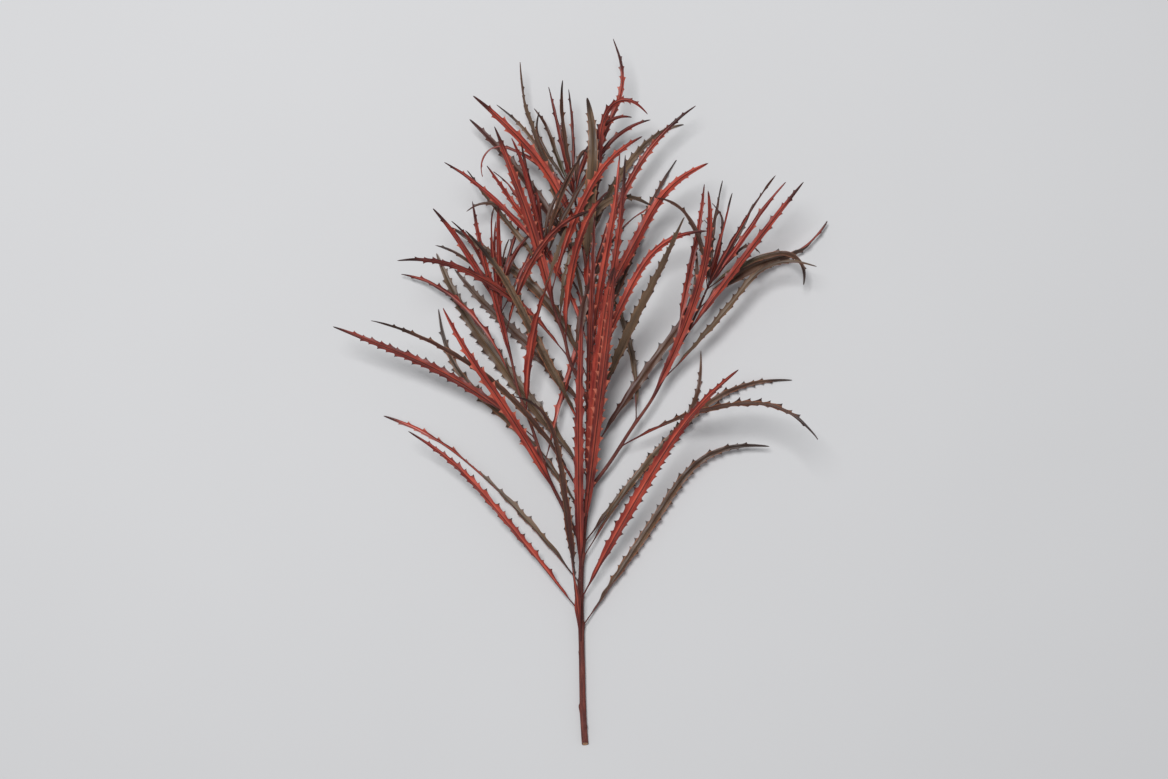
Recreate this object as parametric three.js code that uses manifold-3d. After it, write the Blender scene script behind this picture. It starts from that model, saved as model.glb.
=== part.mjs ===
// Dried grevillea stem: one cut stem with side shoots and long toothed leaves, lying on a flat surface.
// Millimetres, +Z up. The stem runs along +Y with its cut end at -Y, and the surface is z = 0.
// Angles are in degrees. A pair of values runs from the lowest leaf of an axis to its highest.

import * as THREE from 'three';
import Module from 'manifold-3d';

const wasm = await Module();
wasm.setup();

// The woody stem: control points of its centre line, its radius at the two ends, how far the line
// waves, and how much the cut at the foot slants.
const STEM_LINE = [[0, 0, 4.05], [-18, 205, 6], [28, 410, 30], [-10, 600, 38]];
const STEM_RADII = [3.7, 1.5];
const STEM_WAVE = 2.2;
const CUT_SLANT = 0.55;
const STEM_RINGS = 36;
const STEM_SIDES = 8;

// The side shoots: where each leaves the stem (0 foot, 1 tip), on which side, its length, how far it
// leans out from the stem at its root and at its tip, and its rise above the horizontal.
const SHOOTS = [
  { name: 'left_shoot', at: 0.36, side: -1, length: 270, lean: [38, 24], rise: 8 },
  { name: 'right_shoot', at: 0.46, side: 1, length: 255, lean: [37, 26], rise: 7 },
  { name: 'upper_shoot', at: 0.62, side: -1, length: 165, lean: [29, 16], rise: 18 },
];
const SHOOT_RADII = [2.2, 1.2];
const SHOOT_WAVE = 1.3;
const SHOOT_RINGS = 13;
const SHOOT_SIDES = 7;

// The bud at the end of each axis, which the young leaves of its spray grow from.
const BUD_LENGTH = 24;
const BUD_TIP_RADIUS = 0.5;
const BUD_CLEAR = 0.3;
const BUD_RINGS = 4;

// Room kept round a leaf: a guard is its blade, thicker and wider by the gap, from a share of its length.
const LEAF_GUARDS = [{ gap: 0.8, from: 0.04 }, { gap: 0.25, from: 0 }];
const YOUNG_GUARDS = [{ gap: 0.25, from: 0.2 }];
const WHOLE_BLADE = { gap: 0, from: 0 };

// The leaves of the stem, of a side shoot and of a spray. From and to are places along the axis,
// broad is the share of leaves that are half as wide again, and sunk is how deep a root goes.
const STEM_FOLIAGE = {
  count: 34, from: 0.19, to: 0.975, length: [322, 196], halfWidth: [4.4, 3.2], toothHeight: [4.3, 3.4],
  lean: [42, 19], stray: 11, broad: 0.2, toothPitch: [21, 26], stalk: 1.1, clear: 0.95, sunk: 0,
  ribPoints: 10, guards: LEAF_GUARDS,
};
const SHOOT_FOLIAGE = {
  count: 7, from: 0.26, to: 0.95, length: [242, 168], halfWidth: [4, 3.2], toothHeight: [3.9, 3.2],
  lean: [33, 16], stray: 10, broad: 0.15, toothPitch: [21, 26], stalk: 1, clear: 0.95, sunk: 0,
  ribPoints: 8, guards: LEAF_GUARDS,
};
const SPRAY_FOLIAGE = {
  count: 10, from: 0.2, to: 0.86, length: [152, 66], halfWidth: [3.1, 2], toothHeight: [2.5, 2],
  lean: [38, 6], stray: 7, broad: 0, toothPitch: [30, 38], stalk: 0.6, clear: 0, sunk: 0.9,
  ribPoints: 5, guards: YOUNG_GUARDS,
};
const SHARE_POWER = { at: 0.95, length: 1.5, lean: 0.8 };

// How leaves stand and bend.
const GOLDEN_ANGLE = 137.508;
const SHOOT_TURN = 60;
const TURN_STRAY = 16;
const SKYWARD_TUCK = 0.5;
const BEND = [-20, 64];
const CURL = { small: 22, large: 78, smallShare: 0.5, hooked: 60, hookedShare: 0.16, from: 0.55 };
const SWEEP = 26;
const FACING_SIDE = 84;
const FACING_SHARE = 0.84;
const FLATNESS = [0.5, 0.92];
const FLAT_FROM = 0.4;
const TWIST = { usual: 38, turned: 120, turnedShare: 0.14 };
const FOLD = [14, 36];

// The blade: its thickness, how its width runs from stalk to tip, and its teeth.
const BLADE = 0.8;
const WIDTH_PEAK = 0.7;
const WIDTH_FULLNESS = 0.42;
const STALK_SHARE = 0.14;
const FOLD_FROM = 0.15;
const BROAD = 1.6;
const TOOTH_NOTCH = 1.7;
const TEETH = { from: 0.13, to: 0.94, crowding: 0.88, rise: [0.06, 0.26], fall: 0.5, fallFrom: 0.6 };

// A lying stem is pressed flat below: no leaf points further down than this, from straight up. What
// would reach under the surface bends up along it, softly.
const PRESS = [66, 122];
const RIB_FLOOR = { height: 1, softness: 6 };
const BLADE_FLOOR = { height: 0.7, softness: 0.5 };

// Growing: steps along a midrib, the seeds of the draws and how often a leaf may be drawn again.
const RIB_STEPS = 48;
const LEAF_SEED = 7919;
const RETRY_SEED = 104729;
const TRIES = 120;

const UP = new THREE.Vector3(0, 0, 1);
const radians = THREE.MathUtils.degToRad;
const mix = THREE.MathUtils.lerp;
const ease = (x) => THREE.MathUtils.smoothstep(x, 0, 1);

// A small random generator, so that each leaf is the same in every run.
function drawsFrom(seed) {
  const modulus = 2147483647;
  let state = seed % modulus;
  const draw = (low, high) => {
    state = (state * 48271) % modulus;
    return low + (high - low) * (state / modulus);
  };
  draw(0, 1);
  draw(0, 1);
  return draw;
}

// The centre line of the stem, a shoot or a bud: a cubic curve with a slight natural wave.
class WoodyLine extends THREE.Curve {
  constructor(points, wave, radii) {
    super();
    this.base = new THREE.CubicBezierCurve3(...points.map((point) => new THREE.Vector3(...point)));
    this.wave = wave;
    this.radii = radii;
  }

  getPoint(t, target = new THREE.Vector3()) {
    this.base.getPoint(t, target);
    const swell = this.wave * Math.sin(Math.PI * t);
    target.x += swell * Math.sin(15.5 * t);
    target.z += 0.5 * swell * Math.sin(19 * t + 1);
    return target;
  }

  radius(t) {
    return mix(this.radii[0], this.radii[1], t);
  }

  frame(t) {
    const along = this.getTangent(t);
    const side = new THREE.Vector3().crossVectors(along, UP).normalize();
    const up = new THREE.Vector3().crossVectors(side, along);
    return { centre: this.getPoint(t), along, side, up };
  }
}

// The direction that leans out from an axis by one angle, turned round it by another from straight up.
function outward(frame, lean, around) {
  const out = Math.sin(radians(lean));
  return frame.along.clone().multiplyScalar(Math.cos(radians(lean)))
    .addScaledVector(frame.side, out * Math.sin(radians(around)))
    .addScaledVector(frame.up, out * Math.cos(radians(around)));
}

function shootLine(stem, shoot) {
  const frame = stem.frame(shoot.at);
  const around = shoot.side * (90 - shoot.rise);
  const points = [0, 1, 2, 3].map((third) => {
    const way = outward(frame, mix(shoot.lean[0], shoot.lean[1], third / 3), around);
    return frame.centre.clone().addScaledVector(way, (shoot.length * third) / 3).toArray();
  });
  return new WoodyLine(points, SHOOT_WAVE, SHOOT_RADII);
}

// Draws leaf k of an axis. Later attempts may stray further from its natural place.
function drawLeaf(line, foliage, k, turn, draw, attempt) {
  const share = k / (foliage.count - 1);
  const along = (name) => mix(foliage[name][0], foliage[name][1], share ** (SHARE_POWER[name] ?? 1));
  const stray = TURN_STRAY + attempt;
  const natural = THREE.MathUtils.euclideanModulo(turn + draw(-stray, stray) + 180, 360) - 180;
  const tilt = Math.abs(natural);
  const pressed = mix(PRESS[0], PRESS[1], (tilt - PRESS[0]) / (180 - PRESS[0]));
  const around = Math.sign(natural) * (tilt < PRESS[0] ? tilt : pressed);
  const tuck = 1 - SKYWARD_TUCK * Math.max(0, Math.cos(radians(around))) ** 2;
  const length = along('length') * draw(0.86, 1.12);
  const broad = draw(0, 1) < foliage.broad ? BROAD : 1;
  const lean = (along('lean') + draw(-foliage.stray, foliage.stray + 0.3 * attempt)) * tuck;
  const bend = draw(...BEND) * tuck;
  const hook = draw(0, 1);
  const curl = draw(-1, 1) * (hook < CURL.smallShare ? CURL.small : CURL.large)
    + (hook > 1 - CURL.hookedShare ? CURL.hooked : 0);
  const redUp = (Math.abs(around) < FACING_SIDE) === (draw(0, 1) < FACING_SHARE);
  return {
    line, foliage, length, around, lean, bend, curl,
    at: mix(foliage.from, foliage.to, share ** SHARE_POWER.at),
    faceUp: redUp ? 1 : -1,
    sweep: draw(-SWEEP, SWEEP),
    halfWidth: along('halfWidth') * draw(0.78, 1.16) * broad,
    flatness: draw(...FLATNESS),
    twist: draw(-TWIST.usual, TWIST.usual) + (draw(0, 1) < TWIST.turnedShare ? TWIST.turned : 0),
    fold: draw(...FOLD),
    teeth: Math.max(2, Math.round((length * (TEETH.to - TEETH.from)) / draw(...foliage.toothPitch))),
    toothHeight: along('toothHeight') * draw(0.75, 1.2),
    shift: draw(0.2, 0.8),
  };
}

function lifted(height, floor) {
  return floor.height + floor.softness * Math.log1p(Math.exp((height - floor.height) / floor.softness));
}

// The points of a leaf's midrib, from its stalk to its tip.
function ribPoints(leaf, frame) {
  const radius = leaf.line.radius(leaf.at) * (1 - leaf.foliage.sunk) + leaf.foliage.clear;
  const point = frame.centre.clone().addScaledVector(outward(frame, 90, leaf.around), radius);
  const points = [];
  for (let step = 0; step <= RIB_STEPS; step += 1) {
    const u = step / RIB_STEPS;
    points.push(new THREE.Vector3(point.x, point.y, lifted(point.z, RIB_FLOOR)));
    const curl = leaf.curl * ease((u - CURL.from) / (1 - CURL.from));
    const way = outward(frame, leaf.lean + leaf.bend * u ** 1.3 + curl, leaf.around + leaf.sweep * u);
    point.addScaledVector(way, leaf.length / RIB_STEPS);
  }
  return points;
}

// The midrib as stations, each with its point, the blade's sideways direction, and the direction that
// the side of the blade next to the stem faces. The blade turns flat away from its stalk.
function growRib(leaf) {
  const frame = leaf.line.frame(leaf.at);
  const points = ribPoints(leaf, frame);
  const stations = [];
  let across = null;
  let turn = 0;
  points.forEach((point, step) => {
    const u = step / RIB_STEPS;
    const [before, after] = [points[Math.max(0, step - 1)], points[Math.min(RIB_STEPS, step + 1)]];
    const along = after.clone().sub(before).normalize();
    across = across ?? new THREE.Vector3().crossVectors(frame.along, along);
    across = across.addScaledVector(along, -across.dot(along)).normalize();
    const square = new THREE.Vector3().crossVectors(along, across);
    const flat = new THREE.Vector3().crossVectors(along, UP).multiplyScalar(leaf.faceUp);
    const wanted = Math.atan2(flat.dot(square), flat.dot(across));
    turn = wanted + 2 * Math.PI * Math.round((turn - wanted) / (2 * Math.PI));
    const roll = turn * leaf.flatness * ease(u / FLAT_FROM) + radians(leaf.twist) * u ** 1.5;
    const sideways = across.clone().multiplyScalar(Math.cos(roll)).addScaledVector(square, Math.sin(roll));
    stations.push({ point, sideways, facing: new THREE.Vector3().crossVectors(along, sideways) });
  });
  return stations;
}

function stationAt(stations, u) {
  const place = u * RIB_STEPS;
  const low = Math.min(RIB_STEPS - 1, Math.floor(place));
  const between = (name) => stations[low][name].clone().lerp(stations[low + 1][name], place - low);
  return { point: between('point'), sideways: between('sideways'), facing: between('facing') };
}

function halfWidthAt(leaf, u) {
  const blade = Math.sin(Math.PI * u ** WIDTH_PEAK) ** WIDTH_FULLNESS * ease(u / STALK_SHARE);
  return leaf.halfWidth * blade + leaf.foliage.stalk * (1 - u);
}

function toothHeightAt(leaf, u) {
  const [low, high] = TEETH.rise;
  const fall = 1 - TEETH.fall * ease((u - TEETH.fallFrom) / (1 - TEETH.fallFrom));
  return leaf.toothHeight * ease((u - low) / (high - low)) * fall;
}

// One edge of the blade as pairs of place along and distance from the midrib. Each tooth is a point
// that leans forward and the notch behind it.
function edgePoints(leaf, side) {
  const notch = TOOTH_NOTCH / leaf.length;
  const shift = side > 0 ? leaf.shift : (leaf.shift + 0.5) % 1;
  const edge = [[0.05, halfWidthAt(leaf, 0.05)]];
  for (let tooth = 0; tooth < leaf.teeth; tooth += 1) {
    const u = mix(TEETH.from, TEETH.to, ((tooth + shift) / leaf.teeth) ** TEETH.crowding);
    edge.push([u, halfWidthAt(leaf, u) + toothHeightAt(leaf, u)]);
    edge.push([u + notch, halfWidthAt(leaf, u + notch)]);
  }
  return edge;
}

// Joins two chains of numbered points, each with its place along, by a strip of triangles.
function strip(chainA, chainB) {
  const triangles = [];
  let a = 0;
  let b = 0;
  while (a < chainA.length - 1 || b < chainB.length - 1) {
    const nextA = chainA[a + 1]?.u ?? Infinity;
    const nextB = chainB[b + 1]?.u ?? Infinity;
    const third = nextA <= nextB ? chainA[a + 1] : chainB[b + 1];
    if (third.id !== chainA[a].id && third.id !== chainB[b].id) {
      triangles.push([chainA[a].id, chainB[b].id, third.id]);
    }
    if (nextA <= nextB) a += 1; else b += 1;
  }
  return triangles;
}

// The closed solid of a blade or of its guard: a folded sheet of triangles, alike on both faces.
// Point number n has its two vertices at 2n, on the side next to the stem, and at 2n + 1.
function bladeGeometry(leaf, { gap, from } = WHOLE_BLADE) {
  const stations = growRib(leaf);
  const positions = [];
  const place = (u, across) => {
    const { point, sideways, facing } = stationAt(stations, u);
    const fold = radians(leaf.fold) * ease(u / FOLD_FROM);
    const half = (BLADE / 2 + gap) / Math.cos(fold);
    const middle = point.addScaledVector(sideways, across * Math.cos(fold))
      .addScaledVector(facing, Math.abs(across) * Math.sin(fold));
    middle.z = lifted(middle.z, BLADE_FLOOR);
    const id = positions.length / 6;
    positions.push(...middle.clone().addScaledVector(facing, half).toArray());
    positions.push(...middle.addScaledVector(facing, -half).toArray());
    return { id, u };
  };

  const rib = [];
  for (let step = 0; step < leaf.foliage.ribPoints; step += 1) {
    rib.push(place(mix(from, 1, (step / leaf.foliage.ribPoints) ** 0.92), 0));
  }
  const tip = place(1, 0);
  rib.push(tip);
  const [left, right] = [1, -1].map((side) => {
    const root = place(from, side * (halfWidthAt(leaf, from) + gap));
    const points = edgePoints(leaf, side).filter(([u]) => u > from);
    return [root, ...points.map(([u, width]) => place(u, side * (width + gap))), tip];
  });

  const index = [];
  [...strip(left, rib), ...strip(rib, right)].forEach(([a, b, c]) => {
    index.push(2 * a, 2 * c, 2 * b, 2 * a + 1, 2 * b + 1, 2 * c + 1);
  });
  const rim = [...left, ...right.slice(0, -1).reverse(), rib[0]].map((point) => point.id);
  rim.forEach((b, k) => {
    const a = rim[(k + 1) % rim.length];
    index.push(2 * a, 2 * b, 2 * b + 1, 2 * a, 2 * b + 1, 2 * a + 1);
  });
  return facingOut(positions, index);
}

// A geometry with its faces turned to point out, whichever way round its rings were listed.
function facingOut(positions, index) {
  const vertex = (k) => new THREE.Vector3().fromArray(positions, 3 * index[k]);
  let volume = 0;
  for (let k = 0; k < index.length; k += 3) {
    volume += vertex(k).dot(vertex(k + 1).cross(vertex(k + 2)));
  }
  if (volume < 0) index.reverse();
  const geometry = new THREE.BufferGeometry();
  geometry.setAttribute('position', new THREE.Float32BufferAttribute(positions, 3));
  geometry.setIndex(index);
  return geometry;
}

// A round twig: rings of points along its line, closed at each end.
function twigGeometry(line, rings, sides, slant = 0) {
  const positions = [];
  for (let ring = 0; ring <= rings; ring += 1) {
    const t = ring / rings;
    const { centre, side, up, along } = line.frame(t);
    for (let k = 0; k < sides; k += 1) {
      const angle = 2 * Math.PI * (k / sides);
      const rise = Math.sin(angle) * line.radius(t);
      const point = centre.clone().addScaledVector(side, Math.cos(angle) * line.radius(t))
        .addScaledVector(up, rise).addScaledVector(along, ring === 0 ? slant * rise : 0);
      positions.push(...point.toArray());
    }
  }
  const index = [];
  const id = (ring, k) => ring * sides + (k % sides);
  for (let ring = 0; ring < rings; ring += 1) {
    for (let k = 0; k < sides; k += 1) {
      index.push(id(ring, k), id(ring, k + 1), id(ring + 1, k + 1));
      index.push(id(ring, k), id(ring + 1, k + 1), id(ring + 1, k));
    }
  }
  for (let k = 1; k < sides - 1; k += 1) {
    index.push(id(0, 0), id(0, k + 1), id(0, k));
    index.push(id(rings, 0), id(rings, k), id(rings, k + 1));
  }
  return facingOut(positions, index);
}

function toSolid(geometry) {
  const vertProperties = new Float32Array(geometry.attributes.position.array);
  const triVerts = new Uint32Array(geometry.index.array);
  return new wasm.Manifold(new wasm.Mesh({ numProp: 3, vertProperties, triVerts }));
}

function toGeometry(solid) {
  const mesh = solid.getMesh();
  const geometry = new THREE.BufferGeometry();
  geometry.setAttribute('position', new THREE.BufferAttribute(new Float32Array(mesh.vertProperties), 3));
  geometry.setIndex(new THREE.BufferAttribute(new Uint32Array(mesh.triVerts), 1));
  return geometry;
}

// What has grown so far, as solids with their boxes.
const grown = [];

function keep(geometry) {
  geometry.computeBoundingBox();
  grown.push({ solid: toSolid(geometry), box: geometry.boundingBox });
}

function isClear(guard) {
  guard.computeBoundingBox();
  const near = grown.filter((piece) => piece.box.intersectsBox(guard.boundingBox));
  if (near.length === 0) return true;
  const body = toSolid(guard);
  return near.every((piece) => body.intersect(piece.solid).isEmpty());
}

// Grows a leaf, drawn again until its guards cut nothing that has grown.
function growLeaf(line, foliage, k, turn, number) {
  for (let attempt = 0; attempt < TRIES; attempt += 1) {
    const draw = drawsFrom(LEAF_SEED * (number + 1) + RETRY_SEED * attempt);
    const leaf = drawLeaf(line, foliage, k, turn, draw, attempt);
    if (foliage.guards.every((guard) => isClear(bladeGeometry(leaf, guard)))) {
      const geometry = bladeGeometry(leaf);
      keep(geometry);
      return geometry;
    }
  }
  throw new Error(`leaf ${number} finds no clear place`);
}

// The spray of young leaves round the bud at the end of an axis, fused with it.
function growSpray(line, number) {
  const { centre, along } = line.frame(1);
  const points = [0, 1, 2, 3].map((third) => (
    centre.clone().addScaledVector(along, BUD_CLEAR + (BUD_LENGTH * third) / 3).toArray()
  ));
  const bud = new WoodyLine(points, 0, [line.radius(1), BUD_TIP_RADIUS]);
  let spray = toSolid(twigGeometry(bud, BUD_RINGS, SHOOT_SIDES));
  for (let k = 0; k < SPRAY_FOLIAGE.count; k += 1) {
    spray = spray.add(toSolid(growLeaf(bud, SPRAY_FOLIAGE, k, GOLDEN_ANGLE * k, 1000 * (number + 1) + k)));
  }
  return toGeometry(spray);
}

const plant = new THREE.Group();

function addMesh(name, geometry, color, roughness) {
  const mesh = new THREE.Mesh(geometry, new THREE.MeshStandardMaterial({ color, roughness, metalness: 0 }));
  mesh.name = name;
  plant.add(mesh);
}

const addBark = (name, geometry) => addMesh(name, geometry, 0x6b3328, 0.75);
const addLeaf = (name, geometry) => addMesh(name, geometry, 0xa8392c, 0.6);
const addYoungLeaves = (name, geometry) => addMesh(name, geometry, 0x7a2a22, 0.6);

// The woody stem with its side shoots, grown as one piece: each shoot's root is sunk in the stem.
const stemLine = new WoodyLine(STEM_LINE, STEM_WAVE, STEM_RADII);
const shootLines = SHOOTS.map((shoot) => shootLine(stemLine, shoot));
const woody = toGeometry(shootLines.reduce(
  (solid, line) => solid.add(toSolid(twigGeometry(line, SHOOT_RINGS, SHOOT_SIDES))),
  toSolid(twigGeometry(stemLine, STEM_RINGS, STEM_SIDES, CUT_SLANT)),
));
keep(woody);
addBark('stem', woody);

addYoungLeaves('tip_spray', growSpray(stemLine, 0));
SHOOTS.forEach(({ name }, number) => {
  addYoungLeaves(`${name}_spray`, growSpray(shootLines[number], number + 1));
});

SHOOTS.forEach(({ name }, number) => {
  for (let k = 0; k < SHOOT_FOLIAGE.count; k += 1) {
    const turn = GOLDEN_ANGLE * k + SHOOT_TURN * number;
    const leaf = growLeaf(shootLines[number], SHOOT_FOLIAGE, k, turn, 100 * (number + 1) + k);
    addLeaf(`${name}_leaf_${k + 1}`, leaf);
  }
});

for (let k = 0; k < STEM_FOLIAGE.count; k += 1) {
  const leaf = growLeaf(stemLine, STEM_FOLIAGE, k, GOLDEN_ANGLE * k, k);
  addLeaf(`leaf_${String(k + 1).padStart(2, '0')}`, leaf);
}

// The origin is the middle of the foot of the whole stem's box.
const box = new THREE.Box3().setFromObject(plant);
const middle = box.getCenter(new THREE.Vector3());
plant.position.set(-middle.x, -middle.y, -box.min.z);

const grevilleaStem = new THREE.Group();
grevilleaStem.add(plant);

export default grevilleaStem;
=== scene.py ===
import math

import bpy
import numpy as np
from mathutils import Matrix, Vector
from mathutils.kdtree import KDTree


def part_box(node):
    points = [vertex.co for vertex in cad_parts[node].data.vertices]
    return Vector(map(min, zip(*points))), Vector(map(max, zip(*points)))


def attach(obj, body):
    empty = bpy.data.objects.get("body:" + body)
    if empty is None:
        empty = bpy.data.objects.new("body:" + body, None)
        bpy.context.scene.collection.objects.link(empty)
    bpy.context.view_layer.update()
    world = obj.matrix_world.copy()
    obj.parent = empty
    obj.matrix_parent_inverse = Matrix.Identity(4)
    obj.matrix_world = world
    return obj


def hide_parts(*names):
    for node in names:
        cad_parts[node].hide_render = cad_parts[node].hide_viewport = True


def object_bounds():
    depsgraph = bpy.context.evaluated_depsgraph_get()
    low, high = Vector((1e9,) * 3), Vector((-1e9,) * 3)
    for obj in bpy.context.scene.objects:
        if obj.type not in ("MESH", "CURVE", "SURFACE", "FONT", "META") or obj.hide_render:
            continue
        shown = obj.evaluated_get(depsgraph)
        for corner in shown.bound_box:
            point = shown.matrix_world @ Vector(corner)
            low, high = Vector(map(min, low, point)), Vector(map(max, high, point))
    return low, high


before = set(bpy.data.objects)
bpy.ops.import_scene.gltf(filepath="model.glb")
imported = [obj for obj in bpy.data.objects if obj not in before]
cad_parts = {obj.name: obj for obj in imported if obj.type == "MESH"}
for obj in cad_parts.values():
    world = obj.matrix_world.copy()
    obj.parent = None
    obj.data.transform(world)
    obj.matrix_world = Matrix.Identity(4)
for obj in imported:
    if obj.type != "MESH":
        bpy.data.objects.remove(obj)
CAD_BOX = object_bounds()

bl_info = {
    "name": "Dried grevillea stem",
    "version": (1, 0, 0),
    "blender": (4, 5, 0),
    "location": "3D View > Sidebar > Grevillea",
    "description": "Grows a dyed, dried stem with long saw-toothed leaves round its packed solids",
    "category": "Add Mesh",
}

# The plant grows in millimetres and degrees, and its meshes are placed in metres.
MM = 0.001
UP = np.array([0.0, 0.0, 1.0])

# The woody stem and its side shoots, as in the solids. Two radii or leans are those at the foot and at
# the tip. An axis waves through so many radians along its length, up_share as far up as sideways.
STEM_LINE = [[0, 0, 4.05], [-18, 205, 6], [28, 410, 30], [-10, 600, 38]]
STEM_RADII = [3.7, 1.5]
STEM_WAVE = 2.2
CUT_SLANT = 0.55
STEM_RINGS = 36
STEM_SIDES = 8
SHOOTS = [
    {"name": "left_shoot", "at": 0.36, "side": -1, "length": 270, "lean": [38, 24], "rise": 8},
    {"name": "right_shoot", "at": 0.46, "side": 1, "length": 255, "lean": [37, 26], "rise": 7},
    {"name": "upper_shoot", "at": 0.62, "side": -1, "length": 165, "lean": [29, 16], "rise": 18},
]
SHOOT_RADII = [2.2, 1.2]
SHOOT_WAVE = 1.3
SHOOT_RINGS = 13
SHOOT_SIDES = 7
WAVE_RUN = {"side": 15.5, "up": 19, "up_start": 1, "up_share": 0.5}
BUD_LENGTH = 24
BUD_TIP_RADIUS = 0.5
BUD_CLEAR = 0.3
BUD_FOOT = -0.06
BUD_SEED = 11

# The leaves of the stem, of a side shoot and of a spray, as in the solids. Two values of one kind are
# those of an axis's lowest leaf and its highest, and two of tooth_pitch are the ends of a draw.
STEM_FOLIAGE = {
    "count": 34, "from": 0.19, "to": 0.975, "length": [322, 196], "half_width": [4.4, 3.2],
    "tooth_height": [4.3, 3.4], "lean": [42, 19], "stray": 11, "broad": 0.2, "tooth_pitch": [21, 26],
    "stalk": 1.1, "clear": 0.95, "sunk": 0,
}
SHOOT_FOLIAGE = {
    "count": 7, "from": 0.26, "to": 0.95, "length": [242, 168], "half_width": [4, 3.2],
    "tooth_height": [3.9, 3.2], "lean": [33, 16], "stray": 10, "broad": 0.15, "tooth_pitch": [21, 26],
    "stalk": 1, "clear": 0.95, "sunk": 0,
}
SPRAY_FOLIAGE = {
    "count": 10, "from": 0.2, "to": 0.86, "length": [152, 66], "half_width": [3.1, 2],
    "tooth_height": [2.5, 2], "lean": [38, 6], "stray": 7, "broad": 0, "tooth_pitch": [30, 38],
    "stalk": 0.6, "clear": 0, "sunk": 0.9,
}
SHARE_POWER = {"at": 0.95, "length": 1.5, "lean": 0.8}
GOLDEN_ANGLE = 137.508
SHOOT_TURN = 60

# How one leaf strays from its neighbours, as in the solids. Two values here are the ends of a draw,
# but for PRESS: a turn past its first value is pressed in between the two.
TURN_STRAY = 16
LENGTH_STRAY = [0.86, 1.12]
WIDTH_STRAY = [0.78, 1.16]
TOOTH_STRAY = [0.75, 1.2]
TOOTH_SHIFT = [0.2, 0.8]
BEND = [-20, 64]
FLATNESS = [0.5, 0.92]
FOLD = [14, 36]
PRESS = [66, 122]
SWEEP = 26
BROAD = 1.6
SKYWARD_TUCK = 0.5
CURL = {"small": 22, "large": 78, "small_share": 0.5, "hooked": 60, "hooked_share": 0.16, "from": 0.55}
TWIST = {"usual": 38, "turned": 120, "turned_share": 0.14}
FACING_SIDE = 84
FACING_SHARE = 0.84

# The form that all leaves share, as in the solids.
RIB_STEPS = 48
BEND_POWER = 1.3
TWIST_POWER = 1.5
FLAT_FROM = 0.4
FOLD_FROM = 0.15
SOLID_BLADE = 0.8
WIDTH_PEAK = 0.7
WIDTH_FULLNESS = 0.42
STALK_SHARE = 0.14
TEETH = {"from": 0.13, "to": 0.94, "crowding": 0.88, "rise": [0.06, 0.26], "fall": 0.5, "fall_from": 0.6}
RIB_FLOOR = {"height": 1, "softness": 6}
BLADE_FLOOR = {"height": 0.7, "softness": 0.5}

# The seeds of the solids' draws. A leaf that met another was drawn again, a little looser each time,
# and its draw is known by where its tip comes to lie, within MATCH.
LEAF_SEED = 7919
RETRY_SEED = 104729
RETRY_LEAN = 0.3
SHOOT_NUMBERS = 100
SPRAY_NUMBERS = 1000
TRIES = 120
MATCH = 0.02

# The fine leaf: shares of the half blade where its columns of points lie, from midrib to margin, and
# how thick the blade is there, as a share from its blade thickness (0) to its midrib's (1). A young
# leaf has fewer columns and closer rows.
COLUMNS = [0, 0.1, 0.24, 0.52, 0.84, 1]
RIB_SHARES = [1, 0.72, 0.16, 0, 0, -0.4]
YOUNG_COLUMNS = [0, 0.16, 0.5, 1]
YOUNG_RIB_SHARES = [1, 0.3, 0, -0.3]
YOUNG_PITCH = 0.8

# How much of the midrib is left at the tip, the depth of its groove, and the blade's relief: how its
# margins roll and wave, and the share of its length past which all of that is full.
RIB_LEFT_AT_TIP = 0.35
GROOVE = 0.16
FULL_FROM = 0.12
ROLL = {"from": 0.6, "full_width": 4}
MARGIN_WAVE = {"pitch": [22, 46], "slip": 1.3, "slip_run": 31}
WAVE_FADE = {"share": 0.6, "from": 0.7}

# How the leaves are spread from pale to dark, and how far apart their patterns are.
# A leaf's darkness is partly its own deeper dye and partly painted shade for leaves shading one another.
DYE_AND_SHADE_SPREAD = 1.2
SEED_DEPTH = 400.0

# The stalk: how much thinner it is at its sides, and where it turns into the blade. Its base runs into
# the bark in rows of points, with its reach in stalk widths and its depth as a share of the twig's
# radius. The base is bowed and widest halfway along, and thickest at its root.
STALK_FLAT = 0.86
STALK_END = [0.004, 0.064]
BASE_ROWS = 6
BASE_REACH = 2.2
BASE_DEPTH = 0.5
BASE_BOW = 0.12
BASE_SWELL = {"width": 0.3, "thickness": 0.2}

# One tooth as places before its point in tooth heights, with its height there, and the same past it:
# a slim thorn low on the leaf, a saw tooth towards the tip, and where the one turns into the other.
# A large tooth's fine point stands out past the solid's. A blade's rows bend towards the teeth, most
# at the margin.
THORN = np.array([
    (-2, 0.04), (-1.15, 0.13), (-0.62, 0.3), (-0.26, 0.6), (0, 1), (0.12, 0.62), (0.32, 0.26), (0.7, 0),
])
SAW = np.array([
    (-2, 0.1), (-1.2, 0.28), (-0.7, 0.5), (-0.3, 0.74), (0, 1), (0.03, 0.55), (0.16, 0.14), (0.36, 0),
])
SAW_FROM = [0.3, 0.75]
TOOTH_POINT = 1.2
ROW_BEND_POWER = 3

# Small teeth between the large ones: the ends of the draws of their place in the gap and of their
# size, and the share of leaves that have only a part of them.
SMALL_TOOTH_PLACE = [0.44, 0.56]
SMALL_TOOTH_SIZE = [0.65, 1]
FEW_TEETH = {"leaves": 0.2, "left": 0.25}

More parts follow.
